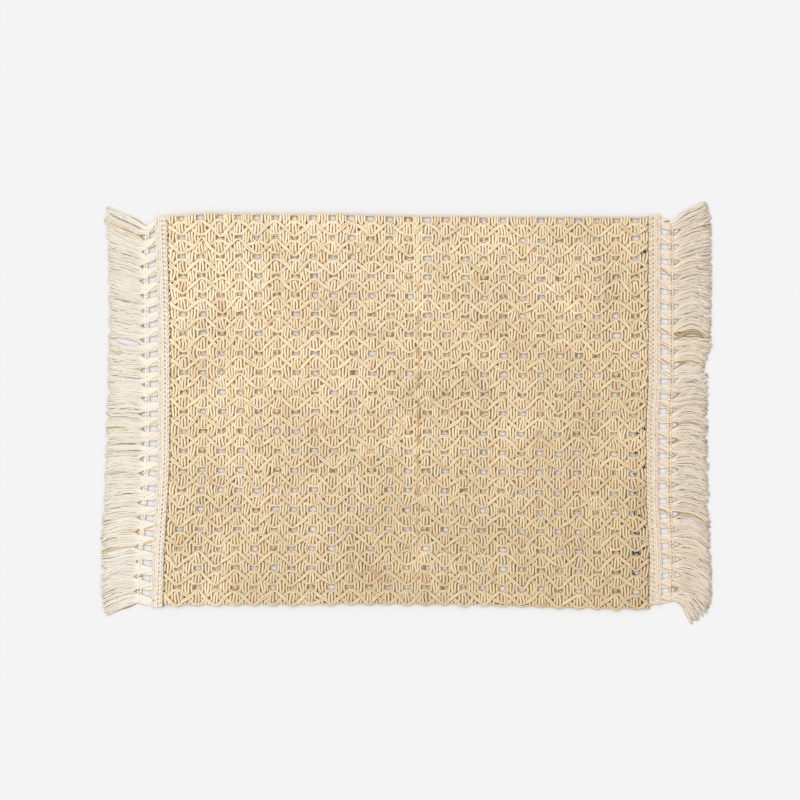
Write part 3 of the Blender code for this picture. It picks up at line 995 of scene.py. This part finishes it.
def fringe_path(trim, cotton, rng, bundle, angle, half):
    """The threads from the chain row to their tips, and their ranks across the bundle, -1 to 1. A
    lock fans out from its bundle by a smooth step, sways by half a sine and a whole one, arches by
    half a sine and droops at its end. Slow sines move single threads, and bells part two locks."""
    look = trim.look
    count = len(bundle)
    out = np.linspace(0, 1, FRINGE_STEPS)[None, :]
    rank = np.arcsin(np.cos(angle)) * 2 / np.pi
    upper = 0.5 + 0.5 * np.sin(angle)
    tips = np.arange(len(trim.tips))
    at = bundle[:, None] * STRANDS + 2 - rank * 0.56 * STRANDS + 0.3 * rng.standard_normal((count, 1))
    tip_x, tip_y = (np.interp(at, tips, trim.tips[:, axis]) for axis in (0, 1))
    tip_x = tip_x + trim.side * (TIP_SURPLUS - cotton.uneven * rng.random((count, 1)) ** 2)
    chain_y = trim.chain_heights()[bundle][:, None]
    lock_y = trim.tips[:, 1].reshape(BUNDLES, STRANDS).mean(axis=1)[bundle][:, None]
    fan = smooth_step(*look.fan, out)
    lock = rng.standard_normal((BUNDLES, 3))[bundle]
    sway = lock[:, :1] * np.sin(np.pi * out) + 0.5 * lock[:, 1:2] * np.sin(2 * np.pi * out)
    wander = waves(rng, count, out, (0.8, 1.7, 2.9)) * smooth_step(0.05, 0.45, out)
    wander = wander * np.where(rng.random((count, 1)) < 0.06, 2.6, 1.0)
    arch, droop = (bend * MM * rng.uniform(0.3, 1.7, (BUNDLES, 1))[bundle] for bend in look.bends)
    droop = droop * (1 + 0.5 * rng.standard_normal((count, 1)))
    droop = droop * smooth_step(*DROOP_REACH, trim.high - chain_y)
    y = chain_y + (lock_y - chain_y) * out ** 1.35
    y = y + half * np.cos(angle) * (1 - fan) + (tip_y - lock_y) * fan
    y = y + cotton.lock_sway * sway + cotton.thread_sway * wander
    y = y + arch * np.sin(np.pi * out) - droop * smooth_step(0.55, 1.0, out)
    window = np.sin(np.pi * np.clip((out - 0.06) / 0.9, 0, 1)) ** 0.7
    middle = FRINGE_STEPS // 2
    halfway = y[:, middle:middle + 1] / MM
    for height, gap in look.partings:
        beyond = halfway - height
        y = y + gap * MM * np.sign(beyond) * hump(beyond, 0, PARTING_WIDTH) * window
    start = trim.place(chain_y, look.chain_out * MM)
    x = start + (tip_x - start) * out
    crown = CROWN * (1 - rank ** 2) * smooth_step(0, 0.3, out) * (1 - 0.5 * out)
    relief = 1 + (look.relief - 1) * smooth_step(0, 0.12, out)
    z = FRINGE_LEVEL + (upper * (1 - 0.45 * out) - 0.35) * relief + crown
    z = z * MM + RIPPLE * MM * waves(rng, count, out, (0.6, 1.5)) * smooth_step(0, 0.3, out)
    return points_at(x, y, z), rank


def thread_group(trim, cotton, seed, per, sizes):
    """So many threads per bundle in one sweep each: out of the tape, through the ladder, under the
    chain row, then out to a tip. The sizes are half the thread's width, half its height, the share
    of the full levels that it rises to and how strong the painted shade on its flanks is. Threads
    at the edges of a lock carry painted shade between the locks."""
    across, up, rise, flank_shade = sizes
    rng = np.random.default_rng(seed)
    count = BUNDLES * per
    bundle = np.repeat(np.arange(BUNDLES), per)
    place = np.tile(np.arange(per), BUNDLES)[:, None] + 0.35 * rng.standard_normal((count, 1))
    place = place / per + rng.random((BUNDLES, 1))[bundle]
    ladder, half = ladder_path(trim, cotton, place, bundle, across)
    angle = 2 * np.pi * (place + cotton.twist)
    fringe, rank = fringe_path(trim, cotton, rng, bundle, angle, half)
    paths = np.concatenate([ladder, fringe], axis=1) * (1, 1, rise)
    out = np.concatenate([np.zeros(LADDER_STEPS), np.linspace(0, 1, FRINGE_STEPS)])[None, :]
    taper = 1 - 0.5 * out ** 4
    lock_tone = rng.standard_normal((BUNDLES, 1))[bundle]
    tone = 0.8 * rng.standard_normal((count, 1)) + 0.5 * lock_tone
    tone = tone - 2.6 * smooth_step(0, 0.25, out)
    # Painted shade between locks: threads at a lock's edges turn towards the shaded colour, with darker
    # flanks
    valley_shade = smooth_step(0.6, 1.0, np.abs(rank))
    warmth = rng.standard_normal((count, 1)) + 0.4 * lock_tone + valley_shade
    dye_and_shade = [tone, warmth, flank_shade * (0.6 + valley_shade * (1.1 + 0.6 * lock_tone))]
    return tube_group(paths, across * taper, up * taper, dye_and_shade)


def length_setting(name, size, description):
    """A length, whose default is given in millimetres."""
    return FloatProperty(name=name, description=description, default=size * MM, unit="LENGTH")


def number_setting(name, value, description):
    """A share or another number without a unit."""
    return FloatProperty(name=name, description=description, default=value)


def colour_setting(name, colour, description):
    """A colour, as linear red, green and blue."""
    return FloatVectorProperty(name=name, description=description, default=colour, subtype="COLOR")


class WeaveSettings(bpy.types.PropertyGroup):
    """Sizes and colours of the woven panel. Spreads, leans and swings are shares of the columns'
    or the rows' pitch."""

    pair_width: length_setting(
        "Pair Yarn Width", 2.5, "Thickness of each yarn of the pairs that show as tongues"
    )
    ground_width: length_setting("Ground Yarn Width", 2.25, "Thickness of a border yarn")
    strand_width: length_setting(
        "Strand Yarn Width", 1.8, "Thickness of each of the two yarns in a crossing strand"
    )
    pair_spread: number_setting("Pair Spread", 0.079, "Half the distance between a shown pair's yarns")
    closing: number_setting(
        "Closing", 0.5, "How far a pair draws together at its closed end, as a share of its spread"
    )
    hidden_spread: number_setting(
        "Hidden Spread", 0.29, "Half the distance between a pair's yarns where they are hidden"
    )
    lean: number_setting("Lean", 0.11, "How far tongues lean sideways")
    arch_height: number_setting(
        "Arch Height", 0.335, "How far a crossing strand swings above and below its row"
    )
    wander: length_setting("Wander", 0.52, "How far the lattice drifts out of true")
    low_level: length_setting("Low Level", 0.7, "Height of a yarn's middle where it runs underneath")
    pair_level: length_setting("Pair Level", 2.3, "Height of a shown pair's middle")
    float_level: length_setting(
        "Float Level", 0.85, "Height of the middle of the floats on the weave's back"
    )
    ground_level: length_setting(
        "Ground Level", 2.1, "Height of the border yarns' middle between the rows of ovals"
    )
    strand_level: length_setting("Strand Level", 1.95, "Height of the crossing strands' middle")
    crossing_lift: length_setting(
        "Crossing Lift", 0.5, "How far the strands rise and sink from that height where they cross"
    )
    cord_width: length_setting("Cord Width", 1.9, "Thickness of the corded upper edge")
    cord_pitch: length_setting("Cord Pitch", 2.35, "Distance between two bumps of the corded edge")
    crease_place: length_setting("Crease Place", 9.6, "Where the soft fold line crosses the mat")
    crease_width: length_setting("Crease Width", 6.0, "Half width of the fold line's trough")
    crease_depth: number_setting(
        "Crease Depth", 0.22, "Depth of the trough, as a share of the mat's thickness"
    )
    # The flank settings paint shade on the yarns' sides, brown where touching yarns shade each other
    flank_shade_start: number_setting(
        "Flank Start", 0.91, "How far up a yarn's sides the brown of its flanks reaches, from -1 to 1"
    )
    pair_flank_shade: number_setting("Pair Flank", 0.82, "Strength of the brown on the flanks of the pairs")
    ground_flank_shade: number_setting(
        "Ground Flank", 0.72, "Strength of the brown on the flanks of the border yarns"
    )
    strand_flank_shade: number_setting(
        "Strand Flank", 0.6, "Strength of the brown on the flanks of the crossing strands"
    )
    pale_colour: colour_setting("Pale Straw", (1.0, 0.87, 0.65), "Colour of the palest yarn")
    golden_colour: colour_setting("Golden Straw", (0.89, 0.73, 0.47), "Colour of the most golden yarn")
    rosy_colour: colour_setting(
        "Rosy Straw", (0.78, 0.53, 0.32), "Colour of the reddish yarn among the rest"
    )
    olive_colour: colour_setting(
        "Olive Straw", (0.70, 0.62, 0.34), "Colour of the greenish yarn among the rest"
    )
    # Colour of the painted shade on the flanks, low between the yarns and in the fold
    painted_shade_colour: colour_setting(
        "Deep Straw", (0.47, 0.30, 0.12), "Colour on the flanks and deep between the yarns"
    )


class CottonSettings(bpy.types.PropertyGroup):
    """Sizes and colours of the fringe trims."""

    threads: IntProperty(name="Threads", description="Threads in each bundle", default=24, min=4)
    thread_width: length_setting("Thread Width", 1.15, "Thickness of a thread")
    bundle_width: length_setting(
        "Bundle Width", 6.8, "Width of a bundle in the ladder between tape and chain row"
    )
    twist: number_setting("Twist", 0.3, "Turns of a bundle between tape and chain row")
    uneven: length_setting(
        "Uneven", 3.0, "How much shorter than the longest the shortest threads are cut"
    )
    lock_sway: length_setting("Lock Sway", 0.9, "How far a lock of the fringe swings sideways")
    thread_sway: length_setting("Thread Sway", 0.38, "How far single threads leave their lock")
    # Strength of the painted shade on the threads' flanks
    flank_shade: number_setting("Flank", 0.5, "Strength of the tan on the threads' flanks")
    left_pale: colour_setting("Left Pale", (0.94, 0.87, 0.77), "Paler colour of the left trim")
    # The shaded colours, left and right, stand for tan thread and for the painted shade between locks
    left_shaded: colour_setting("Left Shaded", (0.84, 0.75, 0.59), "Darker colour of the left trim")
    # Colour of the painted shade between the left trim's threads
    left_deep: colour_setting("Left Deep", (0.62, 0.47, 0.25), "Colour between the left trim's threads")
    right_pale: colour_setting("Right Pale", (0.88, 0.78, 0.66), "Paler colour of the right trim")
    right_shaded: colour_setting("Right Shaded", (0.77, 0.63, 0.45), "Darker colour of the right trim")
    # Colour of the painted shade between the right trim's threads
    right_deep: colour_setting(
        "Right Deep", (0.50, 0.36, 0.20), "Colour between the right trim's threads"
    )
    brown_stitch: colour_setting(
        "Brown Stitch", (0.30, 0.18, 0.08), "Colour of the brown stitches in seams and tapes"
    )
    tan_stitch: colour_setting(
        "Tan Stitch", (0.70, 0.48, 0.27), "Colour of the palest stitches in seams and tapes"
    )
    black_stitch: colour_setting("Black Stitch", (0.02, 0.014, 0.008), "Colour of the darkest stitches")


class StageSettings(bpy.types.PropertyGroup):
    """The floor, lights and camera."""

    view_width: length_setting("View Width", 675.2, "Width of the camera's view at the mat")
    view_centre: FloatVectorProperty(
        name="View Centre",
        description="Point of the mat under the camera",
        default=(-5.5 * MM, 8.5 * MM, 3.0 * MM),
        subtype="TRANSLATION",
    )
    lens: number_setting("Lens", 85.0, "Focal length in millimetres")
    floor_colour: colour_setting("Floor", (0.80, 0.80, 0.80), "Colour of the floor")
    key_power: number_setting("Key Power", 1.2, "Strength of the soft light from the upper left")
    key_softness: FloatProperty(
        name="Key Softness",
        description="Angle that the soft light covers",
        default=0.9,
        subtype="ANGLE",
    )
    sky_strength: number_setting("Sky Strength", 0.835, "Strength of the even light from all round")


class PLACEMAT_OT_figure_yarns(bpy.types.Operator):
    """Weaves the yarn pairs that fill the ovals and the places between them"""

    bl_idname = "placemat.figure_yarns"
    bl_label = "Figure Yarns"

    def execute(self, context):
        weave = context.scene.placemat_weave
        ovals = pair_group(weave, np.arange(COLUMNS, dtype=float), start=0.0, closed=-1, seed=11)
        between = pair_group(weave, np.arange(COLUMNS + 1) - 0.5, start=0.5, closed=1, seed=21)
        piece = add_piece("weave_figure_yarns", [ovals, between], straw_finish(weave))
        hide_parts("woven_panel")
        return {"FINISHED"}


class PLACEMAT_OT_ground_yarns(bpy.types.Operator):
    """Weaves the single yarns at the borders of the columns, and the floats on the weave's back"""

    bl_idname = "placemat.ground_yarns"
    bl_label = "Ground Yarns"

    def execute(self, context):
        weave = context.scene.placemat_weave
        ovals = float_group(weave, np.arange(COLUMNS, dtype=float), 0.0, *OVAL_FLOAT)
        between = float_group(weave, np.arange(COLUMNS - 1) + 0.5, 0.5, *BETWEEN_FLOAT)
        groups = [ground_group(weave), ovals, between]
        add_piece("weave_ground_yarns", groups, bpy.data.materials[STRAW_FINISH])
        return {"FINISHED"}


class PLACEMAT_OT_crossing_strands(bpy.types.Operator):
    """Weaves the two strands of every row, which cross between the ovals"""

    bl_idname = "placemat.crossing_strands"
    bl_label = "Crossing Strands"

    def execute(self, context):
        groups = [strand_group(context.scene.placemat_weave, over) for over in (-1, 1)]
        add_piece("weave_crossing_strands", groups, bpy.data.materials[STRAW_FINISH])
        return {"FINISHED"}


class PLACEMAT_OT_panel_edges(bpy.types.Operator):
    """Adds the corded upper edge, the looped lower edge and the laps under the trims"""

    bl_idname = "placemat.panel_edges"
    bl_label = "Panel Edges"

    def execute(self, context):
        weave = context.scene.placemat_weave
        groups = edge_groups(weave) + [lap_group(weave, side) for side in TRIMS]
        add_piece("panel_edge_yarns", groups, bpy.data.materials[STRAW_FINISH])
        return {"FINISHED"}


class PLACEMAT_OT_dark_stitches(bpy.types.Operator):
    """Adds the short brown and nearly black marks of both seams and tapes: stitches of dark thread,
    and painted shade in the seams and the tape's eyelets
    """

    bl_idname = "placemat.dark_stitches"
    bl_label = "Dark Stitches"

    def execute(self, context):
        groups = [trim_mark_group(trim, 90 + side) for side, trim in TRIMS.items()]
        groups.append(spot_group(DARK_SPOTS, DARK_SPOT_LOOK))
        groups.append(spot_group(TAN_SPOTS, TAN_SPOT_LOOK))
        add_piece("dark_stitches", groups, mark_finish(context.scene.placemat_cotton))
        return {"FINISHED"}


class PLACEMAT_OT_fringe_trims(bpy.types.Operator):
    """Makes both trims: the knitted tape, the chain-stitch row and the twisted, fringed threads"""

    bl_idname = "placemat.fringe_trims"
    bl_label = "Fringe Trims"

    def execute(self, context):
        cotton = context.scene.placemat_cotton
        for side, trim in TRIMS.items():
            look = trim.look
            shades = (getattr(cotton, f"{look.name}_{shade}") for shade in ("pale", "shaded", "deep"))
            finish = cotton_finish(f"cotton_{look.name}_finish", *shades)
            seed = 200 + 50 * side
            tape = tape_groups(trim, seed, cotton.flank_shade * TAPE_FLANK_SHADE)
            row = (look.chain_column, cotton.flank_shade * CHAIN_FLANK_SHADE, look.chain_warmth)
            tape.append(stitch_group(seed + 10, trim, trim.chain_ends(), *row))
            add_piece(f"trim_{look.name}_tape", tape, finish)
            across, up = (cotton.thread_width / 2 * share for share in look.flatness)
            thread = (across, up, 1.0, cotton.flank_shade)
            core = (CORE_WIDTH, CORE_HEIGHT, CORE_RISE, cotton.flank_shade * CORE_FLANK_SHADE)
            threads = [
                thread_group(trim, cotton, seed + 20, cotton.threads, thread),
                thread_group(trim, cotton, seed + 21, CORES, core),
            ]
            piece = add_piece(f"trim_{look.name}_threads", threads, finish)
            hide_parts(look.node)
        return {"FINISHED"}


class PLACEMAT_OT_declare_sheet(bpy.types.Operator):
    bl_idname = "placemat.declare_sheet"
    bl_label = "Declare Sheet"

    def execute(self, context):
        return {"FINISHED"}


class PLACEMAT_OT_stage(bpy.types.Operator):
    """Sets the floor, the soft light and the camera straight above the mat"""

    bl_idname = "placemat.stage"
    bl_label = "Stage"

    def execute(self, context):
        stage = context.scene.placemat_stage
        mesh = bpy.data.meshes.new("floor")
        signs = ((-1, -1), (1, -1), (1, 1), (-1, 1))
        corners = [(x * FLOOR_HALF, y * FLOOR_HALF, 0) for x, y in signs]
        mesh.from_pydata(corners, [], [(0, 1, 2, 3)])
        finish = Finish("floor_finish")
        inputs = {"Base Color": (*stage.floor_colour, 1.0), "Roughness": 0.9, "Specular IOR Level": 0.1}
        shader = finish.node("ShaderNodeBsdfPrincipled", {}, inputs, "BSDF")
        finish.node("ShaderNodeOutputMaterial", {}, {"Surface": shader})
        mesh.materials.append(finish.material)
        floor = bpy.data.objects.new("floor", mesh)
        context.scene.collection.objects.link(floor)
        floor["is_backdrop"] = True

        world = bpy.data.worlds.new("soft_studio")
        world.use_nodes = True
        sky = world.node_tree.nodes["Background"]
        sky.inputs["Color"].default_value = (1.0, 1.0, 1.0, 1.0)
        sky.inputs["Strength"].default_value = stage.sky_strength
        context.scene.world = world

        key = bpy.data.lights.new("key", "SUN")
        key.energy = stage.key_power
        key.angle = stage.key_softness
        lamp = bpy.data.objects.new("key", key)
        lamp.location = LAMP_PLACE
        lamp.rotation_euler = (-lamp.location).to_track_quat("-Z", "Y").to_euler()
        context.scene.collection.objects.link(lamp)

        view = bpy.data.cameras.new("camera")
        view.lens = stage.lens
        view.sensor_width = SENSOR_WIDTH
        camera = bpy.data.objects.new("camera", view)
        centre = stage.view_centre
        distance = stage.view_width * stage.lens / SENSOR_WIDTH
        camera.location = (centre[0], centre[1], centre[2] + distance)
        context.scene.collection.objects.link(camera)
        context.scene.camera = camera
        context.scene.view_settings.view_transform = "Standard"
        return {"FINISHED"}


OPERATORS = (
    PLACEMAT_OT_figure_yarns,
    PLACEMAT_OT_ground_yarns,
    PLACEMAT_OT_crossing_strands,
    PLACEMAT_OT_panel_edges,
    PLACEMAT_OT_fringe_trims,
    PLACEMAT_OT_dark_stitches,
    PLACEMAT_OT_declare_sheet,
    PLACEMAT_OT_stage,
)


class PLACEMAT_PT_panel(bpy.types.Panel):
    """Lists the steps that make the placemat"""

    bl_label = "Placemat"
    bl_idname = "PLACEMAT_PT_panel"
    bl_space_type = "VIEW_3D"
    bl_region_type = "UI"
    bl_category = "Placemat"

    def draw(self, context):
        for operator in OPERATORS:
            self.layout.operator(operator.bl_idname)


SETTINGS = {
    "placemat_weave": WeaveSettings,
    "placemat_cotton": CottonSettings,
    "placemat_stage": StageSettings,
}


def register():
    for kind in (*SETTINGS.values(), *OPERATORS, PLACEMAT_PT_panel):
        bpy.utils.register_class(kind)
    for name, kind in SETTINGS.items():
        setattr(bpy.types.Scene, name, PointerProperty(type=kind))


def unregister():
    for name in SETTINGS:
        delattr(bpy.types.Scene, name)
    for kind in reversed((*SETTINGS.values(), *OPERATORS, PLACEMAT_PT_panel)):
        bpy.utils.unregister_class(kind)


def main():
    register()
    bpy.ops.placemat.figure_yarns()
    bpy.ops.placemat.ground_yarns()
    bpy.ops.placemat.crossing_strands()
    bpy.ops.placemat.panel_edges()
    bpy.ops.placemat.fringe_trims()
    bpy.ops.placemat.dark_stitches()
    bpy.ops.placemat.declare_sheet()
    bpy.ops.placemat.stage()


if __name__ == "__main__":
    main()
